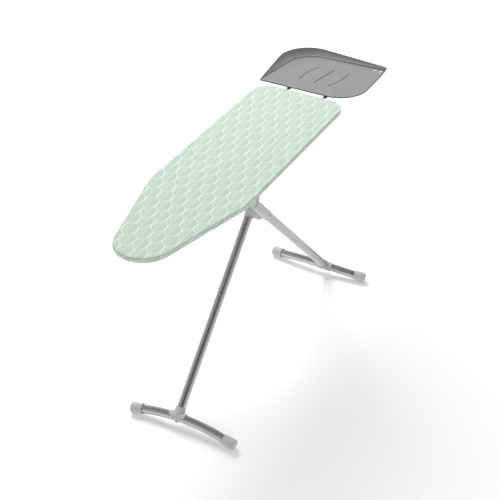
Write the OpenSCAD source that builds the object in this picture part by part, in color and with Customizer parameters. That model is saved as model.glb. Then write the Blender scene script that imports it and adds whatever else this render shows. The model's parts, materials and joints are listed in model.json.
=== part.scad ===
// Folding ironing board: a padded mesh board on a scissor of two T-shaped legs.
// Leg A hangs from a fixed hinge near the tail. Leg B ends in a carriage that
// slides in a pair of rails, so the board stays level while the legs fold.
// An iron rest on two rods plugs into the tail.
// X runs from the nose to the tail, -Y is the side of the release lever, Z is up.
// The origin is on the floor, under the middle of the whole length.

/* [Board] */
// Length of the covered board
board_l = 1244; // [1150:1:1300]
// Width of the covered board
board_w = 375; // [350:1:400]
// Height of the ironing surface above the floor
board_top = 968; // [940:1:1000]
// Thickness of the covered edge
edge_t = 20; // [20:0.5:24]
// Radius of the nose
nose_r = 103; // [90:1:115]
// Length of the tapered part, from the nose to the shoulder
taper_l = 434; // [400:1:470]
// Radius of the tail corners
tail_r = 70; // [50:1:80]
// Radius that softens each shoulder
shoulder_r = 60; // [45:1:100]
// Thickness of the cotton cover
cover_t = 1; // [0.8:0.1:1.5]
// Thickness of the felt padding
pad_t = 5; // [3:0.5:5]
// Width of the cover's hem under the board
hem_w = 38; // [25:1:45]

/* [Legs] */
// Outer radius of the round leg and foot tubes
tube_r = 16.8; // [15:0.1:18]
// Wall of the round tubes
tube_wall = 1.2; // [1:0.1:2]
// Height of the scissor pivot above the floor
pivot_z = 632; // [600:1:660]
// Distance of the scissor pivot from the middle of the whole length
pivot_x = 80; // [60:1:100]
// Distance along X from the scissor pivot to each foot
foot_dx = 591; // [560:1:610]
// Depth of the leg hinges below the ironing surface
hinge_drop = 56; // [54:1:60]
// Distance of leg A from the middle plane, towards +Y
leg_a_y = 29; // [28:1:34]
// Distance of leg B from the middle plane, towards -Y
leg_b_y = 38; // [36:1:42]
// Width of leg B's oval section along Y
leg_b_w = 27; // [24:0.5:27]
// Height of leg B's oval section in the plane of the scissor
leg_b_h = 36; // [32:0.5:36]
// Wall of leg B
leg_b_wall = 2.8; // [2.4:0.1:3]

/* [Feet] */
// Half of the width across a foot's end caps
foot_half = 222; // [210:1:230]
// Slope of a foot's tube at its ends, in degrees
foot_bend = 14; // [10:0.5:16]
// Outer radius of an end cap
cap_r = 22.5; // [21:0.1:24]
// Length of an end cap
cap_l = 50; // [44:1:52]

/* [Iron rest] */
// Gap between the board's tail and the tray
rest_gap = 30; // [24:1:36]
// Depth of the tray along X
tray_d = 320; // [300:1:330]
// Width of the tray along Y
tray_w = 409; // [380:1:420]
// Height of the tray's wall at its highest corner
wall_h = 30; // [20:1:36]
// How far the wall leans outwards
wall_lean = 30; // [20:1:34]
// Thickness of the tray
tray_t = 2.5; // [2:0.1:3]
// Distance of each rod from the middle plane
rod_y = 78; // [70:1:90]
// Radius of the tray's rods
rod_r = 3.3; // [3:0.1:3.5]

/* [Fits] */
// Radius of the hinge pins at the board
pin_r = 4; // [3.5:0.1:4.5]
// Radius of the scissor bolt
bolt_r = 5; // [4.5:0.1:5.5]
// Radial clearance of a running fit
run_gap = 0.05; // [0.02:0.01:0.08]

/* [Hidden] */
$fn = 72;
eps = 0.01;
far = 2000;

// Board
nose_x = -(board_l + rest_gap + tray_d) / 2;
tail_x = nose_x + board_l;
shoulder_x = nose_x + taper_l;
nose_cx = nose_x + nose_r;
taper_deg = atan2(board_w / 2, shoulder_x - nose_cx)
    - asin(nose_r / norm([shoulder_x - nose_cx, board_w / 2]));
board_under = board_top - edge_t;
rim_z = board_under + cover_t;
mesh_t = 1;
mesh_z = board_top - cover_t - pad_t - mesh_t;
rim_gap = 1.5;
rim_wall = 2;
rim_flange = 12;
frame_z = rim_z + rim_wall;
plate_t = 2;

// Scissor: the hinges are level, so both upper arms and both lower arms are equal
hinge_z = board_top - hinge_drop;
end_z = cap_r - 2.5;
leg_deg = atan2(pivot_z - end_z, foot_dx);
arm_up = (hinge_z - pivot_z) / sin(leg_deg);
arm_down = (pivot_z - end_z) / sin(leg_deg);
hinge_x = pivot_x + arm_up * cos(leg_deg);
slide_x = pivot_x - arm_up * cos(leg_deg);
folded_x = hinge_x - 2 * arm_up;

// Feet, measured along the leg from the scissor pivot
cap_over = 6;
foot_arc_r = (foot_half - cap_over * cos(foot_bend)) / sin(foot_bend);
foot_rise = foot_arc_r * (1 - cos(foot_bend)) + cap_over * sin(foot_bend);
cap_back = cap_l - cap_over;
cap_yaw = foot_bend - cap_back / 2 / foot_arc_r * 180 / PI;
foot_mid = -arm_down + foot_rise;
leg_end = foot_mid + tube_r + 1;
cap_bore_gap = 0.35;
cap_end_gap = 0.6;
cap_step_r = tube_r + 2;
cap_step = 5;
cap_mouth_r = max(cap_r - 2.9, cap_step_r + 0.8);
cap_round = 9;
round_steps = 6;
cap_profile = concat(
    [[0, 0], [cap_mouth_r, 0]],
    [for (i = [0:round_steps]) let (a = 90 * i / round_steps)
        [cap_r - cap_round * (1 - cos(a)), cap_l - cap_round * (1 - sin(a))]],
    [[0, cap_l]]
);
saddle_wall = 3.2;
saddle_l = 38;
saddle_half = 33;
saddle_tip = 23;
screw_r = 3;
screw_l = 9;
screw_head_r = 5.5;
screw_head_t = 1.5;

// Scissor joint
drum_r = 27;
drum_round = 5;
drum_near = -20;
collar_r = tube_r + 2.8;
collar_half = 28;
sleeve_wall = 2;
sleeve_below = 16;
sleeve_above = 150;
washer_t = 2.2;
washer_r = 20;
bolt_head_r = 8;
bolt_head_t = 3.4;
bolt_hex_r = 5;
bolt_hex_deep = 3;
nut_r = 9.2;
nut_t = 5;
bolt_out = nut_t + 2;
sleeve_near = -leg_b_y - leg_b_w / 2 - sleeve_wall;
collar_out_y = leg_a_y + collar_r;

// Leg B's groove, and the plug in leg A's top
groove_off = 5;
groove_w = 4;
groove_deep = leg_b_wall - 0.5;
plug_below = 22;
plug_above = 14;
plug_lip = 1.5;

// Hinge bracket and rails
ear_gap = 1.7;
ear_r = 14;
pin_head_r = 7;
pin_head_t = 3;
rail_in = leg_b_w / 2 + 3.5;
rail_drop = 12;
rail_margin = 46;
rail_x0 = folded_x - rail_margin;
rail_x1 = slide_x + rail_margin;
rail_flange = 14;
cheek_half = 32;
cheek_t = 2.7;
bridge_z = hinge_z + 20.5;
bridge_t = 4.5;
rivet_r = 2.5;
brace_w = 34;
brace_t = 1.2;
rail_rivet_x = 12;
bracket_half = 30;
bracket_rivet_x = 20;
bracket_flange = 13;

rail_y = [-leg_b_y - rail_in, -leg_b_y + rail_in];
rail_rivet_y = [rail_y[0] - plate_t - rail_flange / 2, rail_y[1] + plate_t + rail_flange / 2];
ear_y = [leg_a_y - tube_r - ear_gap, leg_a_y + tube_r + ear_gap];
bracket_rivet_y = [ear_y[0] - plate_t - bracket_flange / 2, ear_y[1] + plate_t + bracket_flange / 2];
bracket_rivet_xs = [hinge_x - bracket_rivet_x, hinge_x + bracket_rivet_x];

// Carriage
cheek_gap = 0.3;
cheek_below = 10;
cheek_y = [rail_y[0] + cheek_gap, rail_y[1] - cheek_gap - cheek_t];
yoke_half = 9;
yoke_y = [-leg_b_y - yoke_half, -leg_b_y + yoke_half];

// Release lever, on the nose side of the carriage
lever_off = 58;
lever_below = 8;
lever_x = slide_x - lever_off;
lever_z = hinge_z - rail_drop - lever_below;
lever_w = 20;
lever_t = 6;
lever_reach = 104;
lever_pin_r = 2.5;
lever_ear_t = 4;
lever_head_r = lever_pin_r + 1.8;
lever_head_t = 2;
yoke_w = lever_w + 2 * lever_ear_t + 0.8;
yoke_x0 = lever_x - yoke_w / 2;
lever_tip_y = -leg_b_y - lever_reach;
grip_l = 46;
grip_w = 34;
grip_in = 10;
grip_over = 5;
shoe_gap = 0.3;
spring_r = 5;
spring_wire = 0.9;

// Iron rest
tray_x0 = tail_x + rest_gap;
tray_x1 = tray_x0 + tray_d;
tray_floor = board_top - 7.5;
rod_z = tray_floor - tray_t - 0.2 - rod_r;
socket_r = rod_r + 2;
socket_in = 56;
rod_back = 4;
socket_out = 14;
collar_out_r = 5.7;
rod_end = tray_x0 + 236;
clip_l = 26;
clip_w = 12;
clip_h = rod_r + 4;
clip_x = [tray_x0 + 4, rod_end - clip_l - 8];
corner_small = 10;
corner_far = 140;
corner_near = 120;
lip_h = 1.2;
lip_lean = 3;
ramp_x = 220;
ramp_y = 400;
ramp_bend = 0.7;
tip_share = 0.32;
tip_run = 80;
waist_in = 0.42;
waist_up = 0.47;
lean_power = 1.3;
slot_l = 22;
slot_w = 8;
slot_in = 26;
slot_y = [-160, -185];
slot_turn = -36;

// Board outline: a convex polygon with a rounded corner at each vertex, inset by d
function unit(v) = v / norm(v);
function left_of(v) = [-v[1], v[0]];
function inset_point(a, b, c, d) =
    let (n1 = left_of(unit(b - a)), n2 = left_of(unit(c - b)))
    b + d * (n1 + n2) / (1 + n1 * n2);
function round_corner(a, b, c, r, n) =
    let (
        u = unit(a - b),
        v = unit(c - b),
        half = acos(u * v) / 2,
        centre = b + unit(u + v) * r / sin(half),
        start = atan2(-left_of(unit(b - a))[1], -left_of(unit(b - a))[0]),
        sweep = 180 - 2 * half
    )
    [for (i = [0:n]) centre + r * [cos(start + sweep * i / n), sin(start + sweep * i / n)]];
half_w = board_w / 2;
nose_corner_y = half_w - taper_l * tan(taper_deg);
board_corners = [
    [nose_x, -nose_corner_y], [shoulder_x, -half_w], [tail_x, -half_w],
    [tail_x, half_w], [shoulder_x, half_w], [nose_x, nose_corner_y]
];
board_radii = [nose_r, shoulder_r, tail_r, tail_r, shoulder_r, nose_r];
board_steps = [20, 4, 10, 10, 4, 20];
function outline(d) =
    let (
        n = len(board_corners),
        p = [for (i = [0:n - 1])
            inset_point(board_corners[(i + n - 1) % n], board_corners[i], board_corners[(i + 1) % n], d)]
    )
    [for (i = [0:n - 1])
        each round_corner(p[(i + n - 1) % n], p[i], p[(i + 1) % n], board_radii[i] - d, board_steps[i])];
function half_width(x) = half_w - max(0, shoulder_x - x) * tan(taper_deg);

// Tray outline: [x, y, outward normal] of each point, with the straights subdivided
tray_corners = [
    [tray_x1, tray_w / 2, corner_far, 0],
    [tray_x0, tray_w / 2, corner_small, 90],
    [tray_x0, -tray_w / 2, corner_near, 180],
    [tray_x1, -tray_w / 2, corner_small, 270]
];
function corner_centre(c) =
    [c[0] + (c[0] > tray_x0 ? -c[2] : c[2]), c[1] + (c[1] > 0 ? -c[2] : c[2])];
function arc_point(c, a) = corner_centre(c) + c[2] * [cos(a), sin(a)];
tray_arc_steps = 10;
tray_side_steps = 8;
tray_line = [for (i = [0:3])
    let (c = tray_corners[i], next = tray_corners[(i + 1) % 4], end = c[3] + 90)
    each concat(
        [for (k = [0:tray_arc_steps])
            let (a = c[3] + 90 * k / tray_arc_steps) [arc_point(c, a), [cos(a), sin(a)]]],
        [for (k = [1:tray_side_steps - 1])
            let (p = arc_point(c, end), q = arc_point(next, end))
            [p + (q - p) * k / tray_side_steps, [cos(end), sin(end)]]]
    )];
// Straight rise that rounds off at the top
function ramp(u) =
    let (v = min(1, max(0, u)))
    v < ramp_bend ? 2 * v / (1 + ramp_bend) : 1 - pow(1 - v, 2) / (1 - pow(ramp_bend, 2));
// Share of the wall's full height at a point of the outline; some of it is kept at the tip
function wall_share(p) =
    let (
        tip = tip_share * pow(min(1, max(0, (p[0] - tray_x1 + tip_run) / tip_run)), 2),
        along = ramp((p[1] + tray_w / 2) / ramp_y)
    )
    ramp((p[0] - tray_x0) / ramp_x) * (tip + (1 - tip) * along);
// Ring of the tray, in and up by shares of the wall's lean and height, and lowered by drop
function tray_ring(in, up, drop) = [for (s = tray_line)
    let (
        share = wall_share(s[0]),
        lean = lip_lean + (wall_lean - lip_lean) * pow(share, lean_power),
        p = s[0] - s[1] * in * lean
    )
    [p[0], p[1], tray_floor - drop + up * (lip_h + (wall_h - lip_h) * share)]];

// Closed loft through rings of equal length that run counter-clockwise from above.
// The first and last rings are flat, and each is closed by a fan from a middle point
module loft(rings, middle) {
    n = len(rings[0]);
    m = len(rings);
    top = (m - 1) * n;
    sides = [for (k = [0:m - 2], i = [0:n - 1])
        let (a = k * n + i, b = k * n + (i + 1) % n)
        each [[a, a + n, b + n], [a, b + n, b]]];
    fans = [for (i = [0:n - 1])
        let (j = (i + 1) % n)
        each [[m * n, i, j], [m * n + 1, top + j, top + i]]];
    middles = [for (k = [0, m - 1]) [middle[0], middle[1], rings[k][0][2]]];
    polyhedron(points = concat([for (r = rings) each r], middles), faces = concat(sides, fans));
}

module slab(d, z0, z1) {
    translate([0, 0, z0]) linear_extrude(z1 - z0) polygon(outline(d));
}

module band(d0, d1, z0, z1) {
    difference() {
        slab(d0, z0, z1);
        slab(d1, z0 - 1, z1 + 1);
    }
}

module block(x0, x1, y0, y1, z0, z1) {
    translate([x0, y0, z0]) cube([x1 - x0, y1 - y0, z1 - z0]);
}

// Cylinder along +Y from y0 to y1
module rod_along_y(x, z, r, y0, y1) {
    translate([x, y0, z]) rotate([-90, 0, 0]) cylinder(h = y1 - y0, r = r);
}

// Cylinder along +X from x0 to x1
module rod_along_x(y, z, r, x0, x1) {
    translate([x0, y, z]) rotate([0, 90, 0]) cylinder(h = x1 - x0, r = r);
}

// Flat shape with two round ends, along X
module stadium(length, width) {
    straight = length - width;
    square([straight, width], center = true);
    for (s = [-1, 1]) translate([s * straight / 2, 0]) circle(d = width);
}

// Frame of a leg: +Z runs up the leg from the scissor pivot, +Y stays +Y.
// lean is 1 for leg A, whose top leans to the tail, and -1 for leg B
module leg_frame(y, lean) {
    translate([pivot_x, y, pivot_z]) rotate([0, lean * (90 - leg_deg), 0]) children();
}

// ---- Board ----

module socket_cut(r) {
    for (s = [-1, 1]) rod_along_x(s * rod_y, rod_z, r, tail_x - hem_w - 4, tail_x + 4);
}

module cover() {
    color([0.81, 0.89, 0.82]) difference() {
        slab(0, board_under, board_top);
        slab(cover_t, rim_z, board_top - cover_t);
        slab(hem_w, board_under - 1, rim_z + 1);
        socket_cut(socket_r + 1);
    }
}

module padding() {
    color([0.93, 0.93, 0.9]) slab(cover_t + 0.2, mesh_z + mesh_t, board_top - cover_t);
}

module mesh_top() {
    color([0.75, 0.77, 0.78]) slab(rim_gap + rim_wall, mesh_z, mesh_z + mesh_t);
}

module rim() {
    color([0.82, 0.83, 0.84]) difference() {
        union() {
            band(rim_gap, rim_gap + rim_wall, rim_z, mesh_z + mesh_t);
            band(rim_gap + 1, rim_gap + rim_wall + rim_flange, rim_z, frame_z);
        }
        socket_cut(socket_r);
    }
}

// Channel across the board, open upwards, resting on the rim's flange
module brace(x, hole_x, hole_y) {
    reach = half_width(x - brace_w / 2) - rim_gap - rim_wall - 2;
    color([0.78, 0.79, 0.8]) difference() {
        block(x - brace_w / 2, x + brace_w / 2, -reach, reach, frame_z, mesh_z);
        block(x - brace_w / 2 + brace_t, x + brace_w / 2 - brace_t, -reach - 1, reach + 1,
            frame_z + brace_t, mesh_z + 1);
        for (hx = hole_x, hy = hole_y)
            translate([hx, hy, frame_z - 1]) cylinder(h = brace_t + 2, r = rivet_r);
    }
}

module brace_nose() {
    brace(rail_x0 + rail_rivet_x, [rail_x0 + rail_rivet_x], rail_rivet_y);
}

module brace_mid() {
    brace(rail_x1 - rail_rivet_x, [rail_x1 - rail_rivet_x], rail_rivet_y);
}

module brace_tail() {
    brace(hinge_x - bracket_rivet_x, [hinge_x - bracket_rivet_x], bracket_rivet_y);
}

module brace_end() {
    brace(hinge_x + bracket_rivet_x, [hinge_x + bracket_rivet_x], bracket_rivet_y);
}

module flange_holes(xs, ys) {
    for (x = xs, y = ys)
        translate([x, y, frame_z - plate_t - 1]) cylinder(h = plate_t + 2, r = rivet_r);
}

module hinge_bracket() {
    color([0.72, 0.73, 0.74]) difference() {
        union() {
            block(hinge_x - bracket_half, hinge_x + bracket_half, ear_y[0] - plate_t - bracket_flange,
                ear_y[1] + plate_t + bracket_flange, frame_z - plate_t, frame_z);
            for (y = [ear_y[0] - plate_t, ear_y[1]]) {
                block(hinge_x - ear_r, hinge_x + ear_r, y, y + plate_t, hinge_z, frame_z - 1);
                rod_along_y(hinge_x, hinge_z, ear_r, y, y + plate_t);
            }
        }
        rod_along_y(hinge_x, hinge_z, pin_r, ear_y[0] - 5, ear_y[1] + 5);
        flange_holes(bracket_rivet_xs, bracket_rivet_y);
    }
}

// Pin along Y with a head outside each wall
module headed_pin(x, z, r, y0, y1, head_r, head_t) {
    rod_along_y(x, z, r, y0 - head_t, y1 + head_t);
    rod_along_y(x, z, head_r, y0 - head_t, y0);
    rod_along_y(x, z, head_r, y1, y1 + head_t);
}

module hinge_pin() {
    color([0.85, 0.85, 0.86])
        headed_pin(hinge_x, hinge_z, pin_r, ear_y[0] - plate_t, ear_y[1] + plate_t, pin_head_r, pin_head_t);
}

// Rivet through a flange and a brace, with a head on both sides
module rivet(x, y) {
    head_r = rivet_r + 2;
    head_t = 1.6;
    translate([x, y, frame_z - plate_t - head_t]) cylinder(h = head_t, r = head_r);
    translate([x, y, frame_z - plate_t - head_t]) cylinder(h = head_t + plate_t + brace_t + 1, r = rivet_r);
    translate([x, y, frame_z + brace_t]) cylinder(h = 1, r = head_r - 1);
}

module bracket_rivets() {
    color([0.85, 0.85, 0.86]) for (x = bracket_rivet_xs, y = bracket_rivet_y) rivet(x, y);
}

module rail_rivets() {
    color([0.85, 0.85, 0.86])
        for (x = [rail_x0 + rail_rivet_x, rail_x1 - rail_rivet_x], y = rail_rivet_y) rivet(x, y);
}

// Slotted rail; side is -1 for the outer rail and 1 for the one beside leg A
module rail(side) {
    y = side < 0 ? rail_y[0] - plate_t : rail_y[1];
    y_flange = side < 0 ? y - rail_flange : y;
    color([0.74, 0.75, 0.76]) difference() {
        union() {
            block(rail_x0, rail_x1, y, y + plate_t, hinge_z - rail_drop, frame_z);
            block(rail_x0, rail_x1, y_flange, y_flange + rail_flange + plate_t, frame_z - plate_t, frame_z);
        }
        translate([(folded_x + slide_x) / 2, y - 1, hinge_z]) rotate([-90, 0, 0])
            linear_extrude(plate_t + 2) stadium(slide_x - folded_x + 2 * (pin_r + 1), 2 * (pin_r + run_gap));
        flange_holes([rail_x0 + rail_rivet_x, rail_x1 - rail_rivet_x], rail_rivet_y);
    }
}

module rail_outer() {
    rail(-1);
}

module rail_inner() {
    rail(1);
}

// Plastic socket in the tail that takes one rod of the iron rest
module rest_socket(side) {
    color([0.1, 0.1, 0.1]) difference() {
        union() {
            rod_along_x(side * rod_y, rod_z, socket_r, tail_x - socket_in, tail_x + socket_out);
            rod_along_x(side * rod_y, rod_z, collar_out_r, tail_x + 0.4, tail_x + socket_out);
        }
        rod_along_x(side * rod_y, rod_z, rod_r + run_gap, tail_x - socket_in - 1, tail_x + socket_out + 1);
    }
}

module rest_socket_near() {
    rest_socket(-1);
}

module rest_socket_far() {
    rest_socket(1);
}

// ---- Leg A ----

module leg_a_tube() {
    color([0.62, 0.63, 0.64]) leg_frame(leg_a_y, 1) difference() {
        translate([0, 0, leg_end]) cylinder(h = arm_up + plug_above - leg_end, r = tube_r);
        translate([0, 0, leg_end - 1])
            cylinder(h = arm_up + plug_above + 2 - leg_end, r = tube_r - tube_wall);
        rod_along_y(0, 0, bolt_r, -far, far);
        rod_along_y(0, arm_up, pin_r + run_gap, -far, far);
    }
}

// Plug in the tube's top that carries the hinge pin
module leg_a_plug() {
    plug_r = tube_r - tube_wall - 0.1;
    color([0.2, 0.2, 0.21]) leg_frame(leg_a_y, 1) difference() {
        union() {
            translate([0, 0, arm_up - plug_below]) cylinder(h = plug_below + plug_above, r = plug_r);
            translate([0, 0, arm_up + plug_above]) cylinder(h = plug_lip, r = tube_r);
        }
        rod_along_y(0, arm_up, pin_r + run_gap, -far, far);
    }
}

// Half section of the drum, with its near edge rounded
function drum_profile(length) = concat(
    [[0, 0]],
    [for (i = [0:round_steps]) let (a = 90 * i / round_steps)
        [drum_r - drum_round * (1 - sin(a)), drum_round * (1 - cos(a))]],
    [[drum_r, length], [0, length]]
);

module pivot_housing() {
    near = drum_near - leg_a_y;
    color([0.74, 0.75, 0.75]) leg_frame(leg_a_y, 1) difference() {
        union() {
            translate([0, near, 0]) rotate([-90, 0, 0]) rotate_extrude() polygon(drum_profile(-near));
            translate([0, 0, -collar_half]) cylinder(h = 2 * collar_half, r = collar_r);
        }
        translate([0, 0, -far]) cylinder(h = 2 * far, r = tube_r);
        rod_along_y(0, 0, bolt_r, -far, far);
    }
}

module pivot_washer() {
    color([0.9, 0.9, 0.88]) difference() {
        rod_along_y(pivot_x, pivot_z, washer_r, drum_near - washer_t, drum_near);
        rod_along_y(pivot_x, pivot_z, bolt_r, -far, far);
    }
}

module pivot_bolt() {
    head_y = sleeve_near - 0.3;
    color([0.85, 0.85, 0.87]) difference() {
        union() {
            rod_along_y(pivot_x, pivot_z, bolt_r, head_y - bolt_head_t, collar_out_y + bolt_out);
            rod_along_y(pivot_x, pivot_z, bolt_head_r, head_y - bolt_head_t, head_y);
        }
        translate([pivot_x, head_y - bolt_head_t - 1, pivot_z]) rotate([-90, 0, 0])
            cylinder(h = bolt_hex_deep + 1, r = bolt_hex_r, $fn = 6);
    }
}

module pivot_nut() {
    color([0.8, 0.8, 0.82]) difference() {
        translate([pivot_x, collar_out_y + 0.2, pivot_z]) rotate([-90, 0, 0])
            cylinder(h = nut_t, r = nut_r, $fn = 6);
        rod_along_y(pivot_x, pivot_z, bolt_r, -far, far);
    }
}

// ---- Feet ----

// Sweep of a section along the arched part of a foot, between two angles from its middle
module foot_arc(from, to) {
    translate([0, 0, foot_mid - foot_arc_r]) rotate([0, -90, 0]) rotate([0, 0, from])
        rotate_extrude(angle = to - from, $fn = 180) translate([foot_arc_r, 0]) children();
}

// Frame of an end cap, with +Z pointing out along the tube from the middle of the covered length
module cap_frame(side) {
    translate([0, side * foot_arc_r * sin(cap_yaw), foot_mid - foot_arc_r * (1 - cos(cap_yaw))])
        rotate([-side * (90 + cap_yaw), 0, 0]) children();
}

module foot_tube(lean, leg_y) {
    color([0.62, 0.63, 0.64]) leg_frame(0, lean) difference() {
        foot_arc(-foot_bend, foot_bend) difference() {
            circle(r = tube_r, $fn = 48);
            circle(r = tube_r - tube_wall, $fn = 48);
        }
        translate([0, leg_y, foot_mid - tube_r - 2]) cylinder(h = 2 * tube_wall + 4, r = screw_r);
    }
}

module front_foot_tube() {
    foot_tube(1, leg_a_y);
}

module rear_foot_tube() {
    foot_tube(-1, -leg_b_y);
}

module end_cap(lean, side) {
    color([0.76, 0.77, 0.77]) difference() {
        leg_frame(0, lean) cap_frame(side) difference() {
            translate([0, 0, -cap_back / 2]) rotate_extrude() polygon(cap_profile);
            translate([0, 0, -cap_back / 2 - 1])
                cylinder(h = cap_back + 1 + cap_end_gap, r = tube_r + cap_bore_gap);
            translate([0, 0, -cap_back / 2 - 1]) cylinder(h = cap_step + 1, r = cap_step_r);
        }
        block(-far, far, -far, far, -100, 0);
    }
}

module front_cap_near() {
    end_cap(1, -1);
}

module front_cap_far() {
    end_cap(1, 1);
}

module rear_cap_near() {
    end_cap(-1, -1);
}

module rear_cap_far() {
    end_cap(-1, 1);
}

// Flap around the foot that narrows to a point under the leg, seen along local X
module flap_shape() {
    flap = [[-saddle_half, 40], [-saddle_half, 4], [0, -saddle_tip], [saddle_half, 4], [saddle_half, 40]];
    translate([-40, 0, foot_mid]) rotate([90, 0, 90]) linear_extrude(80) polygon(flap);
}

module saddle(lean, leg_y) {
    yaw = asin(leg_y / foot_arc_r);
    turn = 5;
    color([0.76, 0.77, 0.77]) leg_frame(0, lean) difference() {
        union() {
            intersection() {
                foot_arc(yaw - turn, yaw + turn) circle(r = tube_r + saddle_wall, $fn = 48);
                translate([0, leg_y, 0]) flap_shape();
            }
            translate([0, leg_y, foot_mid]) linear_extrude(saddle_l) children(0);
        }
        foot_arc(yaw - turn - 2, yaw + turn + 2) circle(r = tube_r, $fn = 48);
        translate([0, leg_y, leg_end]) linear_extrude(saddle_l) children(1);
        translate([0, leg_y, foot_mid - tube_r - saddle_wall - 2]) cylinder(h = 12, r = screw_r);
    }
}

module oval(grow) {
    stadium(leg_b_h + 2 * grow, leg_b_w + 2 * grow);
}

module front_saddle() {
    saddle(1, leg_a_y) {
        circle(r = tube_r + saddle_wall);
        circle(r = tube_r);
    }
}

module rear_saddle() {
    saddle(-1, -leg_b_y) {
        oval(saddle_wall);
        oval(0);
    }
}

// How far the foot's arc has dropped at a distance y from its middle
function arc_drop(y) = foot_arc_r - sqrt(foot_arc_r * foot_arc_r - y * y);

// Screw from below that holds the saddle to the foot
module saddle_screw(lean, leg_y) {
    head_z = foot_mid - arc_drop(leg_y) - tube_r - saddle_wall - screw_head_t - 0.4;
    color([0.55, 0.56, 0.58]) leg_frame(0, lean) translate([0, leg_y, head_z])
        difference() {
            union() {
                cylinder(h = screw_l, r = screw_r);
                cylinder(h = screw_head_t, r = screw_head_r);
            }
            translate([0, 0, -1]) cylinder(h = 2, r = 2, $fn = 6);
        }
}

module front_saddle_screw() {
    saddle_screw(1, leg_a_y);
}

module rear_saddle_screw() {
    saddle_screw(-1, -leg_b_y);
}

// ---- Leg B ----

// The groove starts at nothing half-way down the leg and deepens towards the foot
module leg_b_groove() {
    groove_l = arm_down / 2;
    cutter = 10;
    translate([groove_off, -leg_b_w / 2, -groove_l]) rotate([atan2(groove_deep, groove_l), 0, 0])
        translate([-groove_w / 2, -cutter, -groove_l]) cube([groove_w, cutter, groove_l]);
}

module leg_b_profile() {
    top = arm_up + 8;
    color([0.77, 0.78, 0.78]) leg_frame(-leg_b_y, -1) difference() {
        translate([0, 0, leg_end]) linear_extrude(top - leg_end) oval(0);
        translate([0, 0, leg_end - 1]) linear_extrude(top - leg_end + 2) oval(-leg_b_wall);
        rod_along_y(0, 0, bolt_r + run_gap, -far, far);
        rod_along_y(0, arm_up, pin_r + run_gap, -far, far);
        leg_b_groove();
    }
}

module pivot_sleeve() {
    color([0.79, 0.8, 0.8]) leg_frame(-leg_b_y, -1) difference() {
        translate([0, 0, -sleeve_below]) linear_extrude(sleeve_below + sleeve_above) oval(sleeve_wall);
        translate([0, 0, -sleeve_below - 1]) linear_extrude(sleeve_below + sleeve_above + 2) oval(0);
        rod_along_y(0, 0, bolt_r + run_gap, -far, far);
    }
}

// ---- Carriage ----

module carriage() {
    color([0.16, 0.16, 0.17]) difference() {
        union() {
            for (y = cheek_y)
                block(slide_x - cheek_half, slide_x + cheek_half, y, y + cheek_t,
                    hinge_z - cheek_below, bridge_z + 1);
            block(slide_x - cheek_half, slide_x + cheek_half, cheek_y[0], cheek_y[1] + cheek_t,
                bridge_z, bridge_z + bridge_t);
            block(yoke_x0, slide_x - cheek_half + eps, cheek_y[0], cheek_y[1] + cheek_t,
                bridge_z, bridge_z + bridge_t);
            for (x = [yoke_x0, yoke_x0 + yoke_w - lever_ear_t])
                block(x, x + lever_ear_t, yoke_y[0], yoke_y[1], lever_z - 7, bridge_z + 1);
        }
        rod_along_y(slide_x, hinge_z, pin_r, -far, far);
        rod_along_x(-leg_b_y, lever_z, lever_pin_r, yoke_x0 - 1, yoke_x0 + yoke_w + 1);
    }
}

module carriage_pin() {
    color([0.85, 0.85, 0.86]) headed_pin(slide_x, hinge_z, pin_r, rail_y[0] - plate_t - 0.4,
        rail_y[1] + plate_t + 0.4, pin_head_r, pin_head_t);
}

module lever_pin() {
    out_x0 = yoke_x0 - lever_head_t;
    out_x1 = yoke_x0 + yoke_w + lever_head_t;
    color([0.85, 0.85, 0.86]) {
        rod_along_x(-leg_b_y, lever_z, lever_pin_r, out_x0, out_x1);
        rod_along_x(-leg_b_y, lever_z, lever_head_r, out_x0, yoke_x0);
        rod_along_x(-leg_b_y, lever_z, lever_head_r, yoke_x0 + yoke_w, out_x1);
    }
}

// ---- Release lever ----

module release_lever() {
    color([0.3, 0.31, 0.32]) difference() {
        union() {
            block(lever_x - lever_w / 2, lever_x + lever_w / 2, lever_tip_y + grip_in, rail_y[1] + 6,
                lever_z - lever_t / 2, lever_z + lever_t / 2);
            rod_along_x(-leg_b_y, lever_z, 6, lever_x - lever_w / 2, lever_x + lever_w / 2);
        }
        rod_along_x(-leg_b_y, lever_z, lever_pin_r + run_gap, lever_x - far, lever_x + far);
        rod_along_x(-leg_b_y, lever_z, spring_r + 1.6, lever_x - 4, lever_x + 4);
    }
}

// Soft grip pushed over the end of the lever
module lever_grip() {
    grip_t = lever_t + grip_over;
    color([0.12, 0.12, 0.13]) difference() {
        translate([lever_x, lever_tip_y + grip_l / 2, lever_z - grip_t / 2]) linear_extrude(grip_t)
            rotate([0, 0, 90]) stadium(grip_l, grip_w);
        block(lever_x - lever_w / 2, lever_x + lever_w / 2, lever_tip_y + grip_in, lever_tip_y + grip_l + 1,
            lever_z - lever_t / 2, lever_z + lever_t / 2);
    }
}

// Rubber shoe that clamps the lower edge of the inner rail
module brake_shoe() {
    top = hinge_z - rail_drop - shoe_gap;
    color([0.08, 0.08, 0.08]) block(lever_x - 9, lever_x + 9, rail_y[1] - 4, rail_y[1] + 6,
        lever_z + lever_t / 2, top);
}

// Torsion spring coiled round the lever's pin
module lever_spring() {
    turns = 3;
    color([0.7, 0.7, 0.72]) translate([lever_x, -leg_b_y, lever_z]) rotate([0, 90, 0])
        for (i = [0:turns - 1]) translate([0, 0, (i - (turns - 1) / 2) * 2.2])
            rotate_extrude() translate([spring_r - spring_wire, 0]) circle(r = spring_wire, $fn = 24);
}

// ---- Iron rest ----

module tray_slots() {
    for (y = slot_y) translate([tray_x1 - slot_in, y, tray_floor - 10]) rotate([0, 0, slot_turn])
        linear_extrude(20) stadium(slot_l, slot_w);
}

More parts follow.
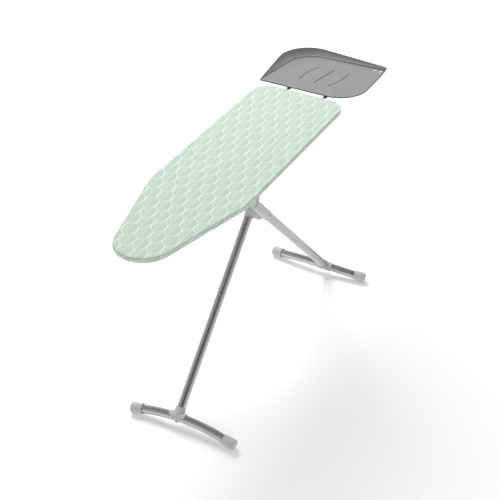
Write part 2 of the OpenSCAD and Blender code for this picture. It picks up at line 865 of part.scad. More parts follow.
module iron_rest_tray() {
    color([0.6, 0.6, 0.6]) difference() {
        loft([
            tray_ring(1, 0, tray_t), tray_ring(waist_in, waist_up, tray_t), tray_ring(0, 1, tray_t),
            tray_ring(0, 1, 0), tray_ring(waist_in, waist_up, 0), tray_ring(1, 0, 0)
        ], [(tray_x0 + tray_x1) / 2, 0]);
        tray_slots();
    }
}

module rest_rods() {
    color([0.12, 0.12, 0.13]) for (s = [-1, 1])
        rod_along_x(s * rod_y, rod_z, rod_r, tail_x - socket_in + rod_back, rod_end);
}

// Saddles under the tray that hold the rods
module rest_clips() {
    top = tray_floor - tray_t;
    color([0.1, 0.1, 0.1]) for (s = [-1, 1], x = clip_x) difference() {
        block(x, x + clip_l, s * rod_y - clip_w / 2, s * rod_y + clip_w / 2, rod_z - clip_h, top);
        rod_along_x(s * rod_y, rod_z, rod_r, x - 1, x + clip_l + 1);
    }
}

cover();
padding();
mesh_top();
rim();
brace_nose();
brace_mid();
brace_tail();
brace_end();
hinge_bracket();
hinge_pin();
bracket_rivets();
rail_outer();
rail_inner();
rail_rivets();
rest_socket_near();
rest_socket_far();
leg_a_tube();
leg_a_plug();
pivot_housing();
pivot_washer();
pivot_bolt();
pivot_nut();
front_foot_tube();
front_cap_near();
front_cap_far();
front_saddle();
front_saddle_screw();
leg_b_profile();
pivot_sleeve();
rear_foot_tube();
rear_cap_near();
rear_cap_far();
rear_saddle();
rear_saddle_screw();
carriage();
carriage_pin();
lever_pin();
release_lever();
lever_grip();
brake_shoe();
lever_spring();
iron_rest_tray();
rest_rods();
rest_clips();
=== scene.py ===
"""Ironing board: looks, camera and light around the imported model. Pieces are drawn in millimetres
and scaled by MM when they are made. Materials, the camera and the lights use metres."""

import json
import math
import random

import bmesh
import bpy
import numpy as np
from mathutils import Matrix, Vector
from mathutils.geometry import delaunay_2d_cdt
from mathutils.kdtree import KDTree

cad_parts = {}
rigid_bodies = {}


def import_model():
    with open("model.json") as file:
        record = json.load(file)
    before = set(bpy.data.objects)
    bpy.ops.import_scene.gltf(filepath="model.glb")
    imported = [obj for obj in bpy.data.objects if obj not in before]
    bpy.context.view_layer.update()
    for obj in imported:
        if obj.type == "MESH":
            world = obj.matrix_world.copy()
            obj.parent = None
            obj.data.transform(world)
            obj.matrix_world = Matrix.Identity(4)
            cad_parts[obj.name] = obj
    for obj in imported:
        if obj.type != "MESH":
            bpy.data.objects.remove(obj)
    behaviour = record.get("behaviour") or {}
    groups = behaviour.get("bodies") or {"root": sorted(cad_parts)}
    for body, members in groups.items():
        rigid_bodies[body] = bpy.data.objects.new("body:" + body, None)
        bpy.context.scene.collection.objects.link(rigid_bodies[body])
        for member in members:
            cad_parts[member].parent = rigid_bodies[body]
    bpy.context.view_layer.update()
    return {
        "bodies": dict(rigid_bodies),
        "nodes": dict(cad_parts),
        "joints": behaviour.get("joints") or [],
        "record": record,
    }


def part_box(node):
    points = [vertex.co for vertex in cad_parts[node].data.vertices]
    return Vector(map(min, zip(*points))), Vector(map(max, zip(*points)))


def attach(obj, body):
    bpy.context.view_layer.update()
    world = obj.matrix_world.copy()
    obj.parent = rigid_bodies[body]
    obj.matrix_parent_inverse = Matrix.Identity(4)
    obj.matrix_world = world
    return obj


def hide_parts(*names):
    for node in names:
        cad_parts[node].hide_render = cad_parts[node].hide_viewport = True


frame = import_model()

NODES = frame["nodes"]
MM = 0.001
rng = random.Random(7)

# ---------------------------------------------------------------- camera

CAM_TARGET = Vector((0.0203, 0.0, 0.4935))
CAM_DISTANCE = 4.6986
CAM_AZIMUTH, CAM_ELEVATION, CAM_ROLL = (math.radians(a) for a in (297.88, 34.74, 0.3))
CAM_SENSOR, CAM_LENS = 36, 88.84

camera_data = bpy.data.cameras.new("camera")
camera_data.sensor_width = CAM_SENSOR
camera_data.lens = CAM_LENS
camera_data.clip_end = 100
camera = bpy.data.objects.new("camera", camera_data)
bpy.context.scene.collection.objects.link(camera)
back = Vector((
    math.sin(CAM_AZIMUTH) * math.cos(CAM_ELEVATION),
    -math.cos(CAM_AZIMUTH) * math.cos(CAM_ELEVATION),
    math.sin(CAM_ELEVATION),
))
camera.rotation_mode = "QUATERNION"
camera.location = CAM_TARGET + back * CAM_DISTANCE
turn = (-back).to_track_quat("-Z", "Y").to_matrix().to_4x4() @ Matrix.Rotation(CAM_ROLL, 4, "Z")
camera.rotation_quaternion = turn.to_quaternion()
bpy.context.scene.camera = camera

# ---------------------------------------------------------------- material helpers


class Shader:
    """A new node material with one Principled BSDF and short ways to add nodes."""

    def __init__(self, name, **sockets):
        self.material = bpy.data.materials.new(name)
        self.material.use_nodes = True
        self.tree = self.material.node_tree
        self.tree.nodes.clear()
        out = self.tree.nodes.new("ShaderNodeOutputMaterial")
        self.bsdf = self.tree.nodes.new("ShaderNodeBsdfPrincipled")
        self.link(self.bsdf.outputs[0], out.inputs[0])
        for socket, value in sockets.items():
            self.bsdf.inputs[socket.replace("_", " ")].default_value = value
        self.place = self.node("ShaderNodeTexCoord").outputs["Object"]

    def link(self, a, b):
        self.tree.links.new(a, b)

    def node(self, kind, inputs=None, **props):
        n = self.tree.nodes.new(kind)
        for key, value in props.items():
            setattr(n, key, value)
        for key, value in (inputs or {}).items():
            if isinstance(value, bpy.types.NodeSocket):
                self.link(value, n.inputs[key])
            else:
                n.inputs[key].default_value = value
        return n

    def math(self, operation, a, b=0.0, c=0.0):
        n = self.node("ShaderNodeMath", {0: a, 1: b, 2: c}, operation=operation)
        return n.outputs[0]

    def mix(self, factor, a, b):
        """Colour mix."""
        n = self.node("ShaderNodeMix", data_type="RGBA")
        for socket, value in ((n.inputs[0], factor), (n.inputs[6], a), (n.inputs[7], b)):
            if isinstance(value, bpy.types.NodeSocket):
                self.link(value, socket)
            elif hasattr(value, "__len__"):
                socket.default_value = (*value[:3], 1)
            else:
                socket.default_value = value
        return n.outputs[2]

    def noise(self, scale, detail=3.0, rough=0.5, where=None, stretch=None):
        where = where or self.place
        if stretch:
            where = self.node("ShaderNodeMapping", {"Vector": where, "Scale": stretch}).outputs[0]
        inputs = {"Vector": where, "Scale": scale, "Detail": detail, "Roughness": rough}
        return self.node("ShaderNodeTexNoise", inputs).outputs["Fac"]

    def span(self, value, low, high, out_low, out_high):
        inputs = {0: value, 1: low, 2: high, 3: out_low, 4: out_high}
        return self.node("ShaderNodeMapRange", inputs).outputs[0]

    def colour(self, socket):
        self.link(socket, self.bsdf.inputs["Base Color"])

    def roughness(self, socket):
        self.link(socket, self.bsdf.inputs["Roughness"])

    def crevice(self, reach, low, high):
        """How open a point is, by ambient occlusion, which sets where shade is painted: 0 in grooves and
        corners up to reach deep, and 1 on open faces.
        """
        near = self.node("ShaderNodeAmbientOcclusion", {"Distance": reach}, samples=8, only_local=True)
        return self.span(near.outputs["AO"], low, high, 0.0, 1.0)

    def bump(self, *layers, edge=0.0):
        """Layers are (height, distance in metres), the coarsest first. edge rounds the corners."""
        normal = None
        if edge:
            normal = self.node("ShaderNodeBevel", {"Radius": edge}, samples=4).outputs[0]
        for height, distance in layers:
            inputs = {"Height": height, "Distance": distance, "Strength": 1.0}
            if normal is not None:
                inputs["Normal"] = normal
            normal = self.node("ShaderNodeBump", inputs).outputs[0]
        self.link(normal, self.bsdf.inputs["Normal"])


# How far the shade painted into grooves and corners reaches, and the openness at which it starts and
# ends
PAINT_CREVICE = (0.006, 0.7, 0.97)
METAL_CREVICE = (0.008, 0.6, 0.95)
PLASTIC_CREVICE = (0.012, 0.4, 0.95)


def shade(colour, share):
    return tuple(min(1.0, c * share) for c in colour)


def painted(name, colour, rough=0.34, metallic=0.0, flake=0.06, coat=0.25, peel=0.00005,
            edge=0.0006, groove=1.0, line=None):
    """Powder coat or metallic paint: orange peel, fine flakes and faint handling marks. A groove share
    below 1 paints shade into crevices and corners, down to that share of the colour. line takes the
    shader and returns where shade is painted along a groove."""
    s = Shader(name, Metallic=metallic, Coat_Weight=coat, Coat_Roughness=0.18)
    flakes = s.noise(2600, 1.0)
    cloud = s.noise(9, 4.0)
    marks = s.noise(60, 6.0, 0.7)
    base = s.mix(s.span(flakes, 0.3, 0.7, 0, 1), shade(colour, 1 - flake), shade(colour, 1 + flake))
    base = s.mix(s.span(cloud, 0.35, 0.7, 0.0, 0.35), base, shade(colour, 0.93))
    # Painted shade: in crevices and corners by ambient occlusion, and along the groove that line marks
    if groove < 1:
        base = s.mix(s.crevice(*PAINT_CREVICE), shade(colour, groove), base)
    if line:
        base = s.mix(line(s), base, shade(colour, groove))
    s.colour(base)
    s.roughness(s.span(marks, 0.4, 0.75, rough, rough + 0.06))
    s.bump((s.noise(420, 2.0), peel), (flakes, peel / 5), edge=edge)
    return s.material


JOINT_AT = {joint["name"]: Vector(joint["pos_m"]) for joint in frame["record"]["behaviour"]["joints"]
            if "pos_m" in joint}
# Leg B's groove: its offset from the leg's axis, half its width and its edge's blur, where the shade
# painted in it starts and is full, measured down the leg from the scissor joint, and how dark it gets
GROOVE_OFF, GROOVE_HALF, GROOVE_BLUR = 0.005, 0.0019, 0.0004
GROOVE_FROM, GROOVE_FULL = 0.418, 0.60
GROOVE_SHADE = 0.9


def leg_b_groove_shade(s):
    """Where shade is painted in leg B's groove: it grows from nothing half-way down the leg to the foot.
    """
    pivot, hinge = JOINT_AT["scissor"], JOINT_AT["carriage_hinge"]
    down = Vector((pivot.x - hinge.x, 0, pivot.z - hinge.z)).normalized()
    across = Vector((-down.z, 0, down.x))
    reach = s.node("ShaderNodeVectorMath", {0: s.place, 1: pivot}, operation="SUBTRACT").outputs[0]

    def along(axis):
        dot = s.node("ShaderNodeVectorMath", {0: reach, 1: axis}, operation="DOT_PRODUCT")
        return dot.outputs["Value"]

    off = s.math("ABSOLUTE", s.math("SUBTRACT", along(across), GROOVE_OFF))
    width = s.span(off, GROOVE_HALF - GROOVE_BLUR, GROOVE_HALF + GROOVE_BLUR, 1.0, 0.0)
    grow = s.span(along(down), GROOVE_FROM, GROOVE_FULL, 0.0, GROOVE_SHADE)
    y = s.node("ShaderNodeSeparateXYZ", {0: s.place}).outputs["Y"]
    near_side = s.math("LESS_THAN", y, hinge.y)
    return s.math("MULTIPLY", s.math("MULTIPLY", width, grow), near_side)


def bare_metal(name, colour, rough=0.25, grain=(1, 1, 14), scale=300, spangle=0.0, groove=1.0):
    """Plated or drawn steel with a fine grain, and zinc's spangle when asked. A groove share below 1
    paints shade into recesses and corners.
    """
    s = Shader(name, Metallic=1.0)
    lines = s.noise(scale, 4.0, 0.6, stretch=grain)
    stain = s.noise(22, 5.0, 0.65)
    base = s.mix(s.span(stain, 0.35, 0.75, 0, 1), colour, shade(colour, 0.78))
    if spangle:
        cells = s.node("ShaderNodeTexVoronoi", {"Vector": s.place, "Scale": 160.0})
        base = s.mix(s.math("MULTIPLY", cells.outputs["Distance"], spangle), base, shade(colour, 0.6))
    # Painted shade in recesses and corners, by ambient occlusion
    if groove < 1:
        base = s.mix(s.crevice(*METAL_CREVICE), shade(colour, groove), base)
    s.colour(base)
    s.roughness(s.span(lines, 0.3, 0.7, rough, rough + 0.16))
    s.bump((lines, 0.00002), edge=0.0004)
    return s.material


def moulded(name, colour, rough=0.42, grain=900, depth=0.00004, coat=0.0, groove=1.0):
    """Injection-moulded plastic with a fine spark-eroded texture. A groove share below 1 paints shade
    into grooves and corners.
    """
    s = Shader(name, Coat_Weight=coat, IOR=1.48)
    fine = s.noise(grain, 3.0, 0.6)
    flow = s.noise(14, 4.0, 0.6)
    base = s.mix(s.span(flow, 0.35, 0.7, 0, 1), shade(colour, 1.03), shade(colour, 0.94))
    # Painted shade in grooves and corners, by ambient occlusion
    if groove < 1:
        base = s.mix(s.crevice(*PLASTIC_CREVICE), shade(colour, groove), base)
    s.colour(base)
    s.roughness(s.span(fine, 0.3, 0.7, rough - 0.05, rough + 0.12))
    s.bump((flow, 0.0001), (fine, depth), edge=0.0009)
    return s.material


def felt_material():
    s = Shader("felt", Roughness=0.95, Sheen_Weight=0.4, Sheen_Roughness=0.6)
    fibre = s.noise(700, 6.0, 0.75)
    strands = s.noise(260, 3.0, 0.5, stretch=(1, 7, 1))
    clumps = s.noise(45, 4.0, 0.6)
    base = s.mix(s.span(clumps, 0.3, 0.7, 0, 1), (0.20, 0.20, 0.205), (0.15, 0.15, 0.155))
    s.colour(s.mix(s.span(strands, 0.55, 0.75, 0, 0.5), base, (0.30, 0.31, 0.32)))
    s.bump((clumps, 0.0006), (strands, 0.0003), (fibre, 0.0003))
    return s.material


# Printed lattice, in the cover's own flat coordinates. A stroke is solid up to its first distance
# and gone at its second, both as shares of a row.
PRINT_PITCH, PRINT_ROW = 0.110, 0.0257
CURVE_FROM, CURVE_TO = 0.16, 0.84
LEAF_STROKE, LEAF_INK = (0.03, 0.07), 0.85
VEIN_STROKE, VEIN_INK = (0.02, 0.05), 0.5
DASH_STROKE, DASH_REACH = (0.05, 0.085), (0.2, 0.25)
HATCH_SLANT, HATCH_PERIOD, HATCH_INK = -0.62, 0.0048, 0.95
THREAD_PITCH = 0.00055
GROUND, LIGHT = (0.527, 0.685, 0.548), (0.93, 1.0, 0.94)


def cover_material():
    s = Shader("cover_cotton", Roughness=0.82, Sheen_Weight=0.2, Sheen_Roughness=0.45)
    uv = s.node("ShaderNodeUVMap", uv_map="cut").outputs[0]
    split = s.node("ShaderNodeSeparateXYZ", {0: uv})
    u, v = split.outputs[0], split.outputs[1]
    wobble = s.noise(9, 2.0, where=uv)
    v = s.math("ADD", v, s.span(wobble, 0.3, 0.7, -0.0008, 0.0008))
    rows = s.math("DIVIDE", v, PRINT_ROW)
    row = s.math("FLOOR", rows)
    up = s.math("SUBTRACT", rows, row)
    odd = s.math("FLOORED_MODULO", row, 2.0)
    along = s.math("SUBTRACT", s.math("DIVIDE", u, PRINT_PITCH), s.math("MULTIPLY", odd, 0.5))
    away = s.math("ABSOLUTE", s.math("SUBTRACT", along, s.math("ROUND", along)))
    away = s.math("MULTIPLY", away, 2.0)
    curve = s.node("ShaderNodeMapRange", {0: away, 1: CURVE_FROM, 2: CURVE_TO, 3: 0.0, 4: 1.0},
                   interpolation_type="SMOOTHSTEP").outputs[0]
    gap = s.math("ABSOLUTE", s.math("SUBTRACT", up, curve))

    def stroke(distance, inner, outer):
        return s.node("ShaderNodeMapRange", {0: distance, 1: inner, 2: outer, 3: 1.0, 4: 0.0},
                      interpolation_type="SMOOTHSTEP").outputs[0]

    leaf = s.math("MULTIPLY", stroke(gap, *LEAF_STROKE), LEAF_INK)
    to_row = s.math("MINIMUM", up, s.math("SUBTRACT", 1.0, up))
    vein = s.math("MULTIPLY", stroke(to_row, *VEIN_STROKE), VEIN_INK)
    # A bright dash lies along the row at each node: below at away = 0, above at away = 1
    low_dash = s.math("MULTIPLY", stroke(up, *DASH_STROKE), stroke(away, *DASH_REACH))
    high = s.math("SUBTRACT", 1.0, up)
    high_dash = s.math("MULTIPLY", stroke(high, *DASH_STROKE),
                       stroke(s.math("SUBTRACT", 1.0, away), *DASH_REACH))
    dash = s.math("MAXIMUM", low_dash, high_dash)
    # Fine hatching fills the half of each leaf above its vein
    slant = s.math("ADD", s.math("MULTIPLY", u, HATCH_SLANT), v)
    hatch = s.math("SINE", s.math("MULTIPLY", slant, 2 * math.pi / HATCH_PERIOD))
    under = s.math("LESS_THAN", up, curve)
    hatch = s.math("MULTIPLY", s.span(hatch, 0.5, 0.8, 0.0, HATCH_INK), under)
    ink = s.math("MAXIMUM", s.math("MAXIMUM", leaf, vein), hatch)
    ink = s.math("MAXIMUM", ink, dash)
    # Plain weave: threads in both directions, with the gaps between the threads painted up to a tenth
    # darker as shade
    wave = math.pi / THREAD_PITCH
    warp = s.math("ABSOLUTE", s.math("SINE", s.math("MULTIPLY", u, wave)))
    weft = s.math("ABSOLUTE", s.math("SINE", s.math("MULTIPLY", v, wave)))
    weave = s.math("MULTIPLY", warp, weft)
    slub = s.noise(120, 4.0, 0.7, where=uv, stretch=(1, 9, 1))
    soft = s.noise(6, 3.0, where=uv)
    ground = s.mix(s.span(soft, 0.3, 0.7, 0, 1), shade(GROUND, 0.985), shade(GROUND, 1.015))
    # The ground is a little deeper between the hatching, so that both halves look alike from afar
    ground = s.mix(under, ground, shade(GROUND, 0.88))
    printed = s.mix(ink, ground, LIGHT)
    printed = s.mix(s.span(weave, 0.0, 1.0, 0.10, 0.0), printed, shade(GROUND, 0.6))
    s.colour(s.mix(s.span(slub, 0.55, 0.75, 0.0, 0.12), printed, (0.95, 1.0, 0.95)))
    s.bump((s.noise(70, 3.0, where=uv), 0.00025), (slub, 0.00006), (weave, 0.00012))
    return s.material


def rubber_material():
    s = Shader("soft_rubber", Roughness=0.8)
    fine = s.noise(1400, 4.0, 0.7)
    s.colour(s.mix(fine, (0.018, 0.018, 0.019), (0.045, 0.045, 0.046)))
    s.bump((fine, 0.00006), edge=0.0008)
    return s.material


GREY = {
    "frame": (0.62, 0.63, 0.64),
    "leg_b": (0.49, 0.495, 0.50),
    "joint": (0.55, 0.555, 0.555),
    "tray": (0.285, 0.285, 0.287),
    "black": (0.018, 0.018, 0.02),
}
# groove sets how dark the shade painted into a material's crevices gets, and line paints shade along leg
# B's groove
MATERIALS = {
    "cover_fabric": cover_material(),
    "felt": felt_material(),
    "mesh_steel": painted("mesh_paint", (0.30, 0.305, 0.31), rough=0.45, coat=0.1),
    "frame_paint": painted("frame_paint", GREY["frame"], rough=0.36),
    "zinc": bare_metal("zinc_plate", (0.66, 0.67, 0.68), rough=0.34, grain=(9, 1, 1), spangle=0.5),
    "bright_steel": bare_metal("bright_steel", (0.78, 0.78, 0.79), rough=0.18, groove=0.06),
    "black_plastic": moulded("black_plastic", GREY["black"], rough=0.38),
    "tube_grey": painted("tube_metallic", (0.50, 0.502, 0.505), rough=0.17, metallic=0.92, flake=0.03,
                         coat=0.0, peel=0.000004, edge=0.0),
    "leg_b_grey": painted("leg_b_paint", GREY["leg_b"], rough=0.4, metallic=0.1, groove=0.12,
                          line=leg_b_groove_shade),
    "joint_plastic": moulded("joint_plastic", GREY["joint"], rough=0.46, groove=0.4),
    "washer_plastic": moulded("washer_plastic", (0.8, 0.8, 0.78), rough=0.3),
    "lever_steel": painted("lever_paint", (0.045, 0.046, 0.048), rough=0.4),
    "rubber": rubber_material(),
    "tray_grey": moulded("tray_plastic", GREY["tray"], rough=0.5, grain=700, depth=0.00003, groove=0.45),
}
for part in frame["record"]["subparts"]:
    mesh = NODES[part["node"]].data
    mesh.materials.clear()
    mesh.materials.append(MATERIALS[part["material_slot"]])

# ---------------------------------------------------------------- mesh helpers


def new_piece(name, points, faces, slot, body, smooth=True, scale=MM):
    """A mesh piece in the row frame, from points in millimetres unless scale says otherwise."""
    mesh = bpy.data.meshes.new(name)
    mesh.from_pydata([[c * scale for c in p] for p in points], [], faces)
    mesh.validate()
    mesh.polygons.foreach_set("use_smooth", [smooth] * len(mesh.polygons))
    mesh.materials.append(MATERIALS[slot])
    piece = bpy.data.objects.new(name, mesh)
    bpy.context.scene.collection.objects.link(piece)
    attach(piece, body)
    return piece


def smooth_by_angle(piece, degrees):
    """Edges sharper than this stay crisp."""
    mesh = piece.data
    bm = bmesh.new()
    bm.from_mesh(mesh)
    bmesh.ops.recalc_face_normals(bm, faces=bm.faces)
    limit = math.radians(degrees)
    for e in bm.edges:
        e.smooth = len(e.link_faces) != 2 or e.calc_face_angle(0) < limit
    bm.to_mesh(mesh)
    bm.free()


def tube(path, radius, sides=10, closed=False):
    """(points, faces) of a round tube along path, which has flat caps unless it is closed."""
    path = [Vector(p) for p in path]
    n = len(path)
    points, faces = [], []
    normal = None
    for i, p in enumerate(path):
        if closed:
            tangent = (path[(i + 1) % n] - path[i - 1]).normalized()
        else:
            tangent = (path[min(i + 1, n - 1)] - path[max(i - 1, 0)]).normalized()
        if normal is None:
            normal = tangent.orthogonal()
        normal = (normal - tangent * normal.dot(tangent)).normalized()
        side = tangent.cross(normal)
        for k in range(sides):
            a = 2 * math.pi * k / sides
            points.append(p + (normal * math.cos(a) + side * math.sin(a)) * radius)
    for i in range(n if closed else n - 1):
        for k in range(sides):
            a, b = i * sides + k, i * sides + (k + 1) % sides
            c, d = ((i + 1) % n) * sides + k, ((i + 1) % n) * sides + (k + 1) % sides
            faces.append((a, b, d, c))
    if not closed:
        faces.append(tuple(range(sides))[::-1])
        faces.append(tuple((n - 1) * sides + k for k in range(sides)))
    return points, faces


def join(parts):
    """Several (points, faces) as one."""
    points, faces = [], []
    for p, f in parts:
        base = len(points)
        points.extend(p)
        faces.extend(tuple(i + base for i in face) for face in f)
    return points, faces


def rings_faces(rings, count, first=0):
    """Quads between successive closed rings of count points."""
    faces = []
    for j in range(rings - 1):
        for i in range(count):
            a, b = first + j * count + i, first + j * count + (i + 1) % count
            faces.append((a, b, b + count, a + count))
    return faces


def fill(boundary, spacing, holes=(), margin=0.6):
    """2-D triangulation inside a closed boundary, with a grid of inner points.
    Returns (points, triangles); the boundary's points come first and keep their order."""
    loops = [boundary, *holes]
    points, edges = [], []
    for loop in loops:
        base, n = len(points), len(loop)
        points.extend(Vector(p[:2]) for p in loop)
        edges.extend((base + i, base + (i + 1) % n) for i in range(n))
    if spacing:
        array = np.array([p[:2] for p in points])
        lo, hi = np.array(boundary)[:, :2].min(0), np.array(boundary)[:, :2].max(0)
        for ix, x in enumerate(np.arange(lo[0] + spacing / 2, hi[0], spacing)):
            shift = spacing / 2 if ix % 2 else 0
            for y in np.arange(lo[1] + spacing / 2 - shift, hi[1], spacing):
                if np.min(np.hypot(array[:, 0] - x, array[:, 1] - y)) > spacing * margin:
                    points.append(Vector((x, y)))
    out = delaunay_2d_cdt(points, edges, [], 0, 1e-5)
    verts, tris = out[0], out[2]

    def inside(p, loop):
        hit = False
        for i in range(len(loop)):
            a, b = loop[i - 1], loop[i]
            if (a[1] > p[1]) != (b[1] > p[1]):
                if p[0] < (b[0] - a[0]) * (p[1] - a[1]) / (b[1] - a[1]) + a[0]:
                    hit = not hit
        return hit

    kept = []
    for t in tris:
        c = ((verts[t[0]] + verts[t[1]] + verts[t[2]]) / 3)
        if inside(c, boundary) and not any(inside(c, h) for h in holes):
            kept.append(tuple(t))
    return [tuple(v) for v in verts], kept


# ---------------------------------------------------------------- board outline, in millimetres

cover_lo, cover_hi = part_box("cover")
NOSE_X, TAIL_X = cover_lo.x / MM, cover_hi.x / MM
HALF_W = cover_hi.y / MM
UNDER_Z, TOP_Z = cover_lo.z / MM, cover_hi.z / MM
NOSE_R, TAIL_R, SHOULDER_R, TAPER_L = 103.0, 70.0, 60.0, 434.0
SHOULDER_X = NOSE_X + TAPER_L


def board_corners():
    """Corner points and radii, counter-clockwise from the nose's -Y side."""
    nose_cx = NOSE_X + NOSE_R
    run = SHOULDER_X - nose_cx
    taper = math.atan2(HALF_W, run) - math.asin(NOSE_R / math.hypot(run, HALF_W))
    nose_y = HALF_W - TAPER_L * math.tan(taper)
    corners = [(NOSE_X, -nose_y), (SHOULDER_X, -HALF_W), (TAIL_X, -HALF_W),
               (TAIL_X, HALF_W), (SHOULDER_X, HALF_W), (NOSE_X, nose_y)]
    return corners, [NOSE_R, SHOULDER_R, TAIL_R, TAIL_R, SHOULDER_R, NOSE_R]


def rounded_line(corners, radii, arc_step, side_step):
    """(points, outward normals, 1 on arcs and 0 on straights) of a convex rounded polygon."""
    n = len(corners)
    arcs = []
    for i in range(n):
        a, b, c = (np.array(corners[k % n], float) for k in (i - 1, i, i + 1))
        u, v = (a - b) / np.linalg.norm(a - b), (c - b) / np.linalg.norm(c - b)
        half = math.acos(np.clip(u @ v, -1, 1)) / 2
        centre = b + (u + v) / np.linalg.norm(u + v) * radii[i] / math.sin(half)
        start = math.atan2(u[0], -u[1])
        sweep = math.pi - 2 * half
        steps = max(2, round(sweep * radii[i] / arc_step))
        angles = [start + sweep * k / steps for k in range(steps + 1)]
        arcs.append([(centre + radii[i] * np.array((math.cos(t), math.sin(t))), t) for t in angles])
    line = []
    for i in range(n):
        line.extend((p, t, 1.0) for p, t in arcs[i])
        p, t = arcs[i][-1]
        q = arcs[(i + 1) % n][0][0]
        steps = max(1, round(float(np.linalg.norm(q - p)) / side_step))
        line.extend((p + (q - p) * k / steps, t, 0.0) for k in range(1, steps))
    points = np.array([p for p, _, _ in line])
    normals = np.array([(math.cos(t), math.sin(t)) for _, t, _ in line])
    return points, normals, np.array([bend for _, _, bend in line])


line_p, line_n, line_bend = rounded_line(*board_corners(), 3.4, 7.0)
LINE = len(line_p)
line_s = np.concatenate([[0], np.cumsum(np.linalg.norm(np.diff(line_p, axis=0), axis=1))])


def smooth_round(values, passes):
    for _ in range(passes):
        values = (np.roll(values, 1) + values * 2 + np.roll(values, -1)) / 4
    return values


# ---------------------------------------------------------------- cover

EDGE_TOP_R, EDGE_LOW_R, HEM_W = 5.0, 5.0, 38.0
CASING = 9.0
FOLD_SPACING, FOLD_DEPTH = 11.5, 4.6
TOP_GRID = 11.0
# In metres: the cloth's thickness, how far the simulation may move it, and how close points join
CLOTH_T, HEM_CAP, JOIN_WITHIN = 0.0007, 0.003, 0.00005
HEM_FRAMES = 20


def cover_profile():
    """(inset, height, how far into the hem from 0 to 1) along the cloth, from the top inwards."""
    steps = 5
    rows = [(16.0, TOP_Z, 0.0), (10.0, TOP_Z, 0.0)]
    for k in range(steps + 1):
        a = math.pi / 2 * k / steps
        rows.append((EDGE_TOP_R * (1 - math.sin(a)), TOP_Z - EDGE_TOP_R * (1 - math.cos(a)), 0.0))
    rows.append((0.0, (TOP_Z + UNDER_Z) / 2, 0.0))
    for k in range(steps + 1):
        a = math.pi / 2 * k / steps
        rows.append((EDGE_LOW_R * (1 - math.cos(a)), UNDER_Z + EDGE_LOW_R * (1 - math.sin(a)), 0.0))
    rows = [(d, z, max(0.0, (d - 2) / (HEM_W - 2)) if z < UNDER_Z + 4 else 0.0) for d, z, _ in rows]
    start, stop = EDGE_LOW_R, HEM_W - CASING
    for k in range(1, 8):
        d = start + (stop - start) * k / 7
        rows.append((d, UNDER_Z, (d - 2) / (HEM_W - 2)))
    # The casing: the cloth bulges round the elastic, and its edge turns back over the hem
    rows.append((stop + 2.5, UNDER_Z - 1.1, 0.86))
    rows.append((stop + 5.5, UNDER_Z - 1.3, 0.95))
    rows.append((stop + 8.2, UNDER_Z - 0.3, 1.0))
    rows.append((HEM_W, UNDER_Z + 1.2, 1.0))
    rows.append((stop + 7.8, UNDER_Z + 2.6, 1.0))
    rows.append((stop + 4.5, UNDER_Z + 3.0, 0.95))
    rows.append((stop + 0.5, UNDER_Z + 2.0, 0.85))
    return rows


def make_cover():
    profile = cover_profile()
    fullness = 0.1 + 0.9 * np.clip(smooth_round(line_bend, 60) * 1.15, 0, 1)
    noise = np.array([rng.uniform(-1, 1) for _ in range(LINE)])
    phase = 2 * np.pi * line_s / FOLD_SPACING + 2.6 * smooth_round(noise, 30) * 6
    depth = FOLD_DEPTH * (0.75 + 0.9 * smooth_round(np.roll(noise, 41), 14) * 2.2)
    fold = (0.5 + 0.5 * np.sin(phase)) * np.clip(depth, 1.0, 7.0) * fullness
    sway = np.cos(phase) * 1.1 * fullness
    tangent = np.stack([-line_n[:, 1], line_n[:, 0]], axis=1)
    points, cut, run = [], [], 0.0
    previous = profile[0]
    for d, z, hem in profile:
        run += math.hypot(d - previous[0], z - previous[1])
        previous = (d, z)
        ramp = hem * hem * (3 - 2 * hem)
        flat = line_p - line_n * d + tangent * (sway * ramp)[:, None]
        lift = z - fold * ramp
        out = line_p - line_n * profile[0][0] + line_n * run
        points.extend((x, y, h) for (x, y), h in zip(flat, lift))
        cut.extend(map(tuple, out))
    faces = rings_faces(len(profile), LINE)
    faces = [f[::-1] for f in faces]
    ring = [tuple(p[:2]) for p in points[:LINE]]
    inner, triangles = fill(ring, TOP_GRID)
    base = len(points) - LINE
    for x, y in inner[LINE:]:
        ripple = 0.12 * math.sin(x / 31) * math.cos(y / 27) - 0.1
        points.append((x, y, TOP_Z + min(0.0, ripple)))
        cut.append((x, y))
    faces.extend(tuple(i if i < LINE else i + base for i in t) for t in triangles)
    cover = new_piece("cover_cloth", points, faces, "cover_fabric", "board")
    uv = cover.data.uv_layers.new(name="cut")
    for loop in cover.data.loops:
        u, v = cut[loop.vertex_index]
        uv.data[loop.index].uv = (u * MM, v * MM)
    # The flat cut's size and area, from its outermost line
    edge = np.array(cut[(len(profile) - 1) * LINE:len(profile) * LINE])
    x, y = edge[:, 0], edge[:, 1]
    area = float(np.abs(np.sum(x * np.roll(y, -1) - np.roll(x, -1) * y))) / 2
    size = edge.max(0) - edge.min(0)
    return cover, (float(size[1]) * MM, float(size[0]) * MM), area * MM * MM


